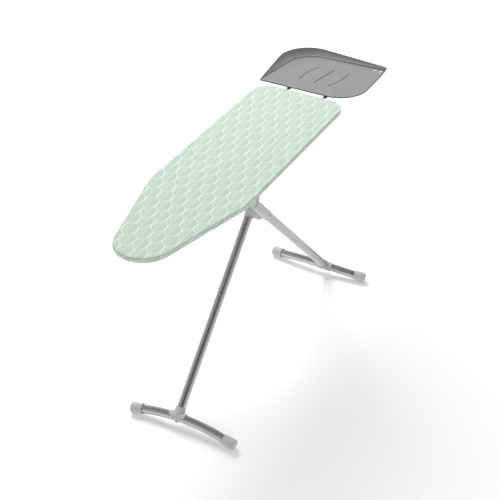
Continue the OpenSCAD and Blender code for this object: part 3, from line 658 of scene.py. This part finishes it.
def relax_hem(piece, cap, frames):
    """Blender's cloth on the loose hem, which sags and puffs between its gathers. The top and the
    side stay held by the board, and the casing is held by its elastic. No point moves further than
    cap, in metres. The cloth runs on a copy whose coinciding points are joined, because it stands
    still when an edge has no length, and the copy's moves are written to the piece's mesh."""
    scene = bpy.context.scene
    twin = piece.copy()
    twin.data = piece.data.copy()
    scene.collection.objects.link(twin)
    group = twin.vertex_groups.new(name="held")
    rows = cover_profile()
    hold = [1.0 if hem == 0 else 0.9 if hem > 0.8 else max(0.0, 1 - 4 * hem) for _, _, hem in rows]
    for i in range(len(twin.data.vertices)):
        row = i // LINE
        group.add([i], hold[row] if row < len(rows) else 1.0, "REPLACE")
    joined = bmesh.new()
    joined.from_mesh(twin.data)
    bmesh.ops.remove_doubles(joined, verts=joined.verts, dist=JOIN_WITHIN)
    joined.to_mesh(twin.data)
    joined.free()
    cloth = twin.modifiers.new("relax", "CLOTH")
    cloth.settings.quality = 6
    cloth.settings.mass = 0.2
    cloth.settings.tension_stiffness = cloth.settings.compression_stiffness = 12
    cloth.settings.bending_stiffness = 0.3
    cloth.settings.vertex_group_mass = "held"
    cloth.settings.use_pressure = True
    cloth.settings.uniform_pressure_force = 0.5
    cloth.settings.effector_weights.gravity = 0.5
    cloth.point_cache.frame_start, cloth.point_cache.frame_end = 1, frames
    before = np.array([v.co for v in twin.data.vertices])
    for frame in range(1, frames + 1):
        scene.frame_set(frame)
    shown = twin.evaluated_get(bpy.context.evaluated_depsgraph_get()).to_mesh()
    move = np.array([v.co for v in shown.vertices]) - before
    far = np.linalg.norm(move, axis=1)
    move *= np.minimum(1.0, cap / np.maximum(far, 1e-9))[:, None]
    tree = KDTree(len(before))
    for i, co in enumerate(before):
        tree.insert(co, i)
    tree.balance()
    for v in piece.data.vertices:
        v.co = v.co + Vector(move[tree.find(v.co)[1]])
    piece.data.update()
    bpy.data.meshes.remove(twin.data)
    scene.frame_set(1)
    print("hem moved", round(float(far.max()) * 1000, 2), "mm at most")


cover, cover_cut, cover_area = make_cover()
relax_hem(cover, HEM_CAP, HEM_FRAMES)
thick = cover.modifiers.new("cloth", "SOLIDIFY")
thick.thickness, thick.offset = CLOTH_T, -1
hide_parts("cover")


def stitches():
    """A row of lock stitches along the hem, which closes the elastic's casing."""
    pitch, length, radius = 4.0, 2.9, 0.33
    sag = (0.15, 0.42, 0.15)
    profile = cover_profile()
    seam = HEM_W - CASING
    under = [j for j, (_, z, _) in enumerate(profile) if z <= UNDER_Z]
    row = min(under, key=lambda j: abs(profile[j][0] - seam))
    verts = np.array([v.co for v in cover.data.vertices]) / MM
    ring = verts[row * LINE:(row + 1) * LINE]
    closed = np.vstack([ring, ring[:1]])
    s = np.concatenate([[0], np.cumsum(np.linalg.norm(np.diff(closed, axis=0), axis=1))])
    parts = []
    for k in range(int(s[-1] / pitch)):
        ends = []
        for t in (k * pitch, k * pitch + length / 2, k * pitch + length):
            ends.append([np.interp(t, s, closed[:, i]) for i in range(3)])
        ends = np.array(ends)
        ends[:, 2] -= sag
        parts.append(tube(ends, radius, sides=5))
    return join(parts)


thread = new_piece("cover_stitching", *stitches(), "cover_fabric", "board")
thread_look = Shader("thread", Roughness=0.7, Sheen_Weight=0.3)
twist = thread_look.noise(900, 2.0)
thread_look.colour(thread_look.mix(twist, (0.72, 0.84, 0.74), (0.88, 0.95, 0.89)))
thread.data.materials[0] = thread_look.material

# ---------------------------------------------------------------- felt padding

PAD_INSET, PAD_GRID = 1.6, 16.0
pad_lo, pad_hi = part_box("padding")


def make_padding():
    low, high = pad_lo.z / MM, pad_hi.z / MM - 0.3
    profile = [(7.0, high), (2.6, high - 0.2), (0.7, high - 1.2), (0.0, (low + high) / 2),
               (0.6, low + 1.1), (2.4, low + 0.25), (7.0, low + 0.05)]
    points = []
    for d, z in profile:
        points.extend((*xy, z) for xy in line_p - line_n * (d + PAD_INSET))
    faces = [f[::-1] for f in rings_faces(len(profile), LINE)]
    for row, sign in ((0, 1), (len(profile) - 1, -1)):
        ring = [tuple(p[:2]) for p in points[row * LINE:(row + 1) * LINE]]
        inner, triangles = fill(ring, PAD_GRID)
        base = len(points)
        z = profile[row][1]
        for x, y in inner[LINE:]:
            sag = 0.0 if sign > 0 else -0.15 + 0.15 * math.sin(x / 13) * math.sin(y / 11)
            points.append((x, y, z - sag))
        shift = [row * LINE + i if i < LINE else base + i - LINE for i in range(len(inner))]
        faces.extend(tuple(shift[i] for i in (t if sign > 0 else t[::-1])) for t in triangles)
    return new_piece("felt_pad", points, faces, "felt", "board")


padding = make_padding()
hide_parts("padding")

# ---------------------------------------------------------------- expanded steel top

STRAND, LONG_WAY, SHORT_WAY = 1.9, 26.0, 12.0
MESH_INSET = 4.0
MESH_T = 0.0007     # metres


def make_mesh_top():
    lo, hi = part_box("mesh_top")
    z = (lo.z + hi.z) / 2 / MM
    bm = bmesh.new()
    corner = {}

    def vert(x, y, dz):
        key = (round(x * 20), round(y * 20))
        if key not in corner:
            corner[key] = bm.verts.new((x, y, z + dz))
        return corner[key]

    slope = math.hypot(LONG_WAY, SHORT_WAY)
    inner_y = LONG_WAY / 2 - STRAND / 2 * slope / SHORT_WAY
    inner_x = SHORT_WAY / 2 - STRAND / 2 * slope / LONG_WAY
    columns = int((TAIL_X - NOSE_X) / SHORT_WAY * 2) + 2
    rows = int(2 * HALF_W / LONG_WAY) + 3
    for i in range(columns):
        x = NOSE_X + i * SHORT_WAY / 2
        for j in range(rows):
            y = -HALF_W - LONG_WAY / 2 + j * LONG_WAY + (LONG_WAY / 2 if i % 2 else 0)
            outer = [vert(x + SHORT_WAY / 2, y, 0.25), vert(x, y + LONG_WAY / 2, -0.25),
                     vert(x - SHORT_WAY / 2, y, 0.25), vert(x, y - LONG_WAY / 2, -0.25)]
            hole = [bm.verts.new((x + inner_x, y, z + 0.3)), bm.verts.new((x, y + inner_y, z - 0.3)),
                    bm.verts.new((x - inner_x, y, z + 0.3)), bm.verts.new((x, y - inner_y, z - 0.3))]
            for k in range(4):
                bm.faces.new((outer[k], outer[(k + 1) % 4], hole[(k + 1) % 4], hole[k]))
    border, normals, _ = rounded_line(*board_corners(), 9.0, 400.0)
    border = border - normals * MESH_INSET
    for p, n in zip(border, normals):
        bmesh.ops.bisect_plane(bm, geom=bm.verts[:] + bm.edges[:] + bm.faces[:], clear_outer=True,
                               plane_co=(p[0], p[1], z), plane_no=(n[0], n[1], 0))
    bm.normal_update()
    for f in bm.faces:
        if f.normal.z < 0:
            f.normal_flip()
    mesh = bpy.data.meshes.new("expanded_mesh")
    bm.to_mesh(mesh)
    bm.free()
    points = [tuple(v.co) for v in mesh.vertices]
    faces = [tuple(p.vertices) for p in mesh.polygons]
    bpy.data.meshes.remove(mesh)
    top = new_piece("expanded_mesh", points, faces, "mesh_steel", "board", smooth=False)
    solid = top.modifiers.new("sheet", "SOLIDIFY")
    solid.thickness, solid.offset = MESH_T, 0
    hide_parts("mesh_top")
    return top


make_mesh_top()

# ---------------------------------------------------------------- iron rest

tray_lo, tray_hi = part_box("iron_rest_tray")
TRAY_X0, TRAY_X1 = tray_lo.x / MM, tray_hi.x / MM
TRAY_HALF = tray_hi.y / MM
TRAY_FLOOR, TRAY_T = TOP_Z - 7.5, 2.5
WALL_H, WALL_LEAN, LIP_H, LIP_LEAN = 30.0, 30.0, 1.2, 3.0
RAMP_X, RAMP_Y, RAMP_BEND = 220.0, 400.0, 0.7
TIP_SHARE, TIP_RUN, LEAN_POWER = 0.32, 80.0, 1.3
LIP_W, STEP_H = 2.6, 4.4
GROOVES = [((563, 70), (632, 66), (688, 45)), ((561, 5), (625, -7.5), (689, -20)),
           ((562, -56), (622, -77), (692, -83))]
SLOT_L, SLOT_W, SLOT_IN, SLOT_TURN = 22.0, 8.0, 26.0, math.radians(-36)
SLOT_YS = (-160.0, -185.0)


def tray_outline():
    corners = [(TRAY_X1, TRAY_HALF, 140.0, 0), (TRAY_X0, TRAY_HALF, 10.0, 90),
               (TRAY_X0, -TRAY_HALF, 120.0, 180), (TRAY_X1, -TRAY_HALF, 10.0, 270)]
    points, normals = [], []
    for i, (x, y, r, start) in enumerate(corners):
        def arc(c, degrees):
            cx = c[0] + (-c[2] if c[0] > TRAY_X0 else c[2])
            cy = c[1] + (-c[2] if c[1] > 0 else c[2])
            a = math.radians(degrees)
            return np.array((cx + c[2] * math.cos(a), cy + c[2] * math.sin(a)))
        steps = max(8, round(r * 1.57 / 4))
        for k in range(steps + 1):
            a = start + 90 * k / steps
            points.append(arc((x, y, r), a))
            normals.append((math.cos(math.radians(a)), math.sin(math.radians(a))))
        p, q = arc((x, y, r), start + 90), arc(corners[(i + 1) % 4], start + 90)
        steps = max(2, round(float(np.linalg.norm(q - p)) / 6))
        for k in range(1, steps):
            points.append(p + (q - p) * k / steps)
            normals.append(normals[-1])
    return np.array(points), np.array(normals)


def bezier(a, mid, b, steps):
    a, mid, b = (np.array(p, float) for p in (a, mid, b))
    control = 2 * mid - (a + b) / 2
    return [a * (1 - t) ** 2 + control * 2 * t * (1 - t) + b * t * t
            for t in (k / steps for k in range(steps + 1))]


def groove_loop(path, half, bulb):
    """Closed outline of a groove round path, with a small bulb at its first end."""
    left, right = [], []
    for i, p in enumerate(path):
        d = path[min(i + 1, len(path) - 1)] - path[max(i - 1, 0)]
        d = d / np.linalg.norm(d)
        n = np.array((-d[1], d[0]))
        far = float(np.linalg.norm(p - path[0]))
        w = half + bulb * math.exp(-(far / 3.2) ** 2)
        left.append(p + n * w)
        right.append(p - n * w)
    d = (path[0] - path[1]) / np.linalg.norm(path[0] - path[1])
    e = (path[-1] - path[-2]) / np.linalg.norm(path[-1] - path[-2])
    tip0 = [path[0] + d * (half + bulb)]
    tip1 = [path[-1] + e * half]
    return tip0 + right + tip1 + left[::-1]


def slot_loop(centre, grow=0.0):
    loop = []
    run, r = (SLOT_L - SLOT_W) / 2, SLOT_W / 2 + grow
    for side, start in ((1, -90), (-1, 90)):
        for k in range(9):
            a = math.radians(start + 180 * k / 8)
            x, y = side * run + r * math.cos(a), r * math.sin(a)
            loop.append(np.array((
                centre[0] + x * math.cos(SLOT_TURN) - y * math.sin(SLOT_TURN),
                centre[1] + x * math.sin(SLOT_TURN) + y * math.cos(SLOT_TURN))))
    return loop


def wall_rise(u):
    """A straight rise that rounds off at the top."""
    v = np.clip(u, 0, 1)
    return np.where(v < RAMP_BEND, 2 * v / (1 + RAMP_BEND), 1 - (1 - v) ** 2 / (1 - RAMP_BEND ** 2))


def make_tray():
    p, n = tray_outline()
    count = len(p)
    tip = TIP_SHARE * np.clip((p[:, 0] - TRAY_X1 + TIP_RUN) / TIP_RUN, 0, 1) ** 2
    along = wall_rise((p[:, 1] + TRAY_HALF) / RAMP_Y)
    share = wall_rise((p[:, 0] - TRAY_X0) / RAMP_X) * (tip + (1 - tip) * along)
    w = LIP_LEAN + (WALL_LEAN - LIP_LEAN) * share ** LEAN_POWER
    h = LIP_H + (WALL_H - LIP_H) * share
    one = np.ones(count)
    foot = 1.6 + 11.0 * share ** 3
    step = STEP_H * np.clip(share / 0.4, 0, 1)
    t = TRAY_T

    def foot_row(out, up):
        return w + foot * out, step * up

    def wall_row(out, up):
        return LIP_W + (w - LIP_W) * out, step + (h - step) * up

    # A wide fillet from the floor, a small steep step, then a hollow wall up to the lip
    inside = [foot_row(1.0, 0.0), foot_row(0.635, 0.03), foot_row(0.317, 0.12), foot_row(0.143, 0.3),
              foot_row(0.071, 0.6), foot_row(0.016, 0.9), wall_row(0.97, 0.004), wall_row(0.854, 0.031),
              wall_row(0.672, 0.114), wall_row(0.489, 0.239), wall_row(0.307, 0.412),
              wall_row(0.161, 0.608), wall_row(0.058, 0.81), wall_row(0.011, 0.953)]
    lip = [(2.3 * one, h - 0.15), (1.7 * one, h), (0.9 * one, h), (0.25 * one, h - 0.25),
           (0 * one, h - 0.8), (0 * one, h - t - 0.6), (0.5 * one, h - t - 1.0)]
    under = [(d - share, z - t) for d, z in inside[:0:-1]] + [(w + foot, 0 * one - t)]
    profile = inside + lip + under
    # The lip's rows and the grooves' walls and floors take a darker copy of the plastic: painted shade
    # and painted reflection on the rolled lip, and painted shade in the grooves
    painted_shade_rows = [*range(len(inside) - 1, len(inside) + len(lip) - 1)]
    points = []
    for d, z in profile:
        xy = p - n * np.asarray(d)[:, None]
        points.extend((x, y, TRAY_FLOOR + dz) for (x, y), dz in zip(xy, z))
    faces = rings_faces(len(profile), count)
    slots = [slot_loop((TRAY_X1 - SLOT_IN, y)) for y in SLOT_YS]
    paths = [bezier(*g, 22) for g in GROOVES]
    wide = [groove_loop(path, 1.7, 1.1) for path in paths]
    deep = [groove_loop(path, 0.9, 0.8) for path in paths]

    def closed_loop(loop, z):
        base = len(points)
        points.extend((q[0], q[1], z) for q in loop)
        return [base + i for i in range(len(loop))]

    def wall(upper, lower):
        k = len(upper)
        return [(upper[i], upper[(i + 1) % k], lower[(i + 1) % k], lower[i]) for i in range(k)]

    top_slots = [closed_loop(s, TRAY_FLOOR) for s in slots]
    low_slots = [closed_loop(s, TRAY_FLOOR - t) for s in slots]
    for a, b in zip(top_slots, low_slots):
        faces.extend(wall(a, b))
    dark = [row * count + i for row in painted_shade_rows for i in range(count)]
    top_grooves = []
    for outer, inner in zip(wide, deep):
        a, b = closed_loop(outer, TRAY_FLOOR), closed_loop(inner, TRAY_FLOOR - 1.3)
        top_grooves.append(a)
        dark.extend(range(len(faces), len(faces) + len(a) + 1))
        faces.extend(wall(a, b))
        faces.append(tuple(b))
    for ring_row, z, holes, owners, flip in (
        (0, TRAY_FLOOR, slots + wide, top_slots + top_grooves, False),
        (len(profile) - 1, TRAY_FLOOR - t, slots, low_slots, True),
    ):
        ring = points[ring_row * count:(ring_row + 1) * count]
        flat, triangles = fill(ring, 0, holes)
        owner = [ring_row * count + i for i in range(count)]
        for loop in owners:
            owner.extend(loop)
        for tri in triangles:
            face = tuple(owner[i] for i in tri)
            faces.append(face[::-1] if flip else face)
    tray = new_piece("iron_rest_dish", points, faces, "tray_grey", "iron_rest")
    # A darker copy of the tray plastic, which carries the painted shade
    painted_shade_look = moulded("tray_painted_shade", shade(GREY["tray"], 0.3), rough=0.55)
    tray.data.materials.append(painted_shade_look)
    for i in dark:
        tray.data.polygons[i].material_index = 1
    smooth_by_angle(tray, 38)
    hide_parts("iron_rest_tray")
    return tray


make_tray()

# ---------------------------------------------------------------- lever grip and spring

RIB_H, RIB_PITCH, RIB_END = 0.55, 7.0, 8


def make_grip():
    lo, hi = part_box("lever_grip")
    lo, hi = lo / MM, hi / MM
    centre = (lo + hi) / 2
    half_l, r = (hi.y - lo.y) / 2, (hi.x - lo.x) / 2
    outline, normals = [], []
    for side, start in ((1, 0), (-1, 180)):
        for k in range(25):
            a = math.radians(start + 180 * k / 24)
            outline.append((r * math.cos(a), side * (half_l - r) + r * math.sin(a)))
            normals.append((math.cos(a), math.sin(a)))
    outline, normals = np.array(outline), np.array(normals)
    half_t = (hi.z - lo.z) / 2
    insets = (0.0, 0.15, 0.7, 1.7, 3.2, 5.2, 7.6, 10.2, 12.8, 15.0, 16.4)
    rows = []
    for sign, order in ((-1, insets[:0:-1]), (1, insets)):
        for d in order:
            z = half_t * (1 - max(0.0, 1 - d / 4.5) ** 2.2) if d else 0.0
            rows.append((d, sign * z))
    points = []
    for d, z in rows:
        for q, nn in zip(outline, normals):
            x, y = q - nn * d
            wave = max(0.0, math.cos(2 * math.pi * y / RIB_PITCH)) ** 2
            ridge = RIB_H * wave * min(1.0, d / 5) * (abs(y) < half_l - RIB_END)
            lift = -ridge if z > 0 else ridge
            points.append((centre.x + x, centre.y + y, centre.z + z + lift))
    count = len(outline)
    faces = rings_faces(len(rows), count)
    faces.append(tuple(range(count))[::-1])
    faces.append(tuple((len(rows) - 1) * count + i for i in range(count)))
    grip = new_piece("lever_grip_cover", points, faces, "black_plastic", "lever")
    smooth_by_angle(grip, 50)
    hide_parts("lever_grip")


def make_spring():
    lo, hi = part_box("lever_spring")
    lo, hi = lo / MM, hi / MM
    centre = (lo + hi) / 2
    wire, coil, turns, pitch = 0.8, 4.1, 3, 2.1
    path = []
    start = Vector((centre.x - turns * pitch / 2, centre.y, centre.z + coil))
    path.extend(start + Vector((0, -y, 0.12)) for y in (11, 7, 3.5, 1.2))
    steps = 22
    for k in range(turns * steps + 1):
        a = 2 * math.pi * k / steps
        path.append(Vector((start.x + turns * pitch * k / (turns * steps),
                            centre.y + coil * math.sin(a), centre.z + coil * math.cos(a))))
    end = path[-1]
    path.extend(end + Vector((0.0, y, 0.12 * y)) for y in (1.5, 4.0, 7.0))
    spring = new_piece("torsion_spring", *tube(path, wire, 8), "bright_steel", "lever")
    smooth_by_angle(spring, 50)
    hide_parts("lever_spring")


make_grip()
make_spring()

# ---------------------------------------------------------------- floor and light


FLOOR_HALF, FLOOR_GLOW = 14.0, 0.18
BAND_DARK, STUDIO_WHITE = 0.02, 0.70


def make_floor():
    """A pale floor with a little glow of its own, so that it comes out white."""
    half = FLOOR_HALF
    mesh = bpy.data.meshes.new("floor")
    mesh.from_pydata([(-half, -half, 0), (half, -half, 0), (half, half, 0), (-half, half, 0)], [],
                     [(0, 1, 2, 3)])
    floor = bpy.data.objects.new("floor", mesh)
    bpy.context.scene.collection.objects.link(floor)
    s = Shader("pale_floor", Roughness=0.85)
    s.bsdf.inputs["Specular IOR Level"].default_value = 0.15
    cloud = s.noise(0.8, 2.0)
    s.colour(s.mix(cloud, (0.93, 0.93, 0.93), (0.95, 0.95, 0.95)))
    s.bsdf.inputs["Emission Color"].default_value = (1, 1, 1, 1)
    s.bsdf.inputs["Emission Strength"].default_value = FLOOR_GLOW
    mesh.materials.append(s.material)


def soft_box(name, place, aim, size, power):
    """A disc lamp, left out of mirror reflections so that it doesn't burn out the tubes."""
    data = bpy.data.lights.new(name, "AREA")
    data.shape, data.size, data.energy = "DISK", size, power
    lamp = bpy.data.objects.new(name, data)
    bpy.context.scene.collection.objects.link(lamp)
    lamp.location = place
    lamp.rotation_mode = "QUATERNION"
    lamp.rotation_quaternion = (Vector(aim) - Vector(place)).to_track_quat("-Z", "Y")
    lamp.visible_glossy = False


def studio_world():
    """A white studio with one broad dark band overhead, which the polished tubes mirror."""
    world = bpy.data.worlds.new("studio")
    bpy.context.scene.world = world
    world.use_nodes = True
    tree = world.node_tree
    background = tree.nodes["Background"]
    coords = tree.nodes.new("ShaderNodeTexCoord").outputs["Generated"]

    def along(direction):
        dot = tree.nodes.new("ShaderNodeVectorMath")
        dot.operation = "DOT_PRODUCT"
        tree.links.new(coords, dot.inputs[0])
        dot.inputs[1].default_value = direction
        return dot.outputs["Value"]

    def ramp(value, *ends):
        node = tree.nodes.new("ShaderNodeMapRange")
        tree.links.new(value, node.inputs[0])
        for i, end in enumerate(ends, start=1):
            node.inputs[i].default_value = end
        return node.outputs[0]

    def join_two(operation, a, b=None):
        node = tree.nodes.new("ShaderNodeMath")
        node.operation = operation
        tree.links.new(a, node.inputs[0])
        if b is not None:
            tree.links.new(b, node.inputs[1])
        return node.outputs[0]

    # The band runs between these two directions, and the plane through them has this normal
    first, second = Vector((-0.66, -0.36, 0.655)), Vector((0.23, 0.25, 0.937))
    across = ramp(join_two("ABSOLUTE", along(first.cross(second).normalized())), 0.0, 1.0, 0.0, 1.0)
    beyond = ramp(along((first * 2 + second).normalized()), 0.35, 0.75, 1.0, 0.0)
    mix = tree.nodes.new("ShaderNodeMix")
    mix.data_type = "RGBA"
    tree.links.new(join_two("MAXIMUM", across, beyond), mix.inputs[0])
    mix.inputs[6].default_value = (BAND_DARK, BAND_DARK, BAND_DARK, 1)
    mix.inputs[7].default_value = (STUDIO_WHITE, STUDIO_WHITE, STUDIO_WHITE, 1)
    tree.links.new(mix.outputs[2], background.inputs["Color"])
    background.inputs["Strength"].default_value = 1.0


make_floor()
studio_world()
soft_box("key", (2.2, 2.4, 4.6), (0, 0, 0.4), 3.6, 245)
soft_box("front_fill", (-4.2, -2.2, 3.4), (0, 0, 0.5), 3.2, 48)
bpy.context.scene.view_settings.view_transform = "Standard"
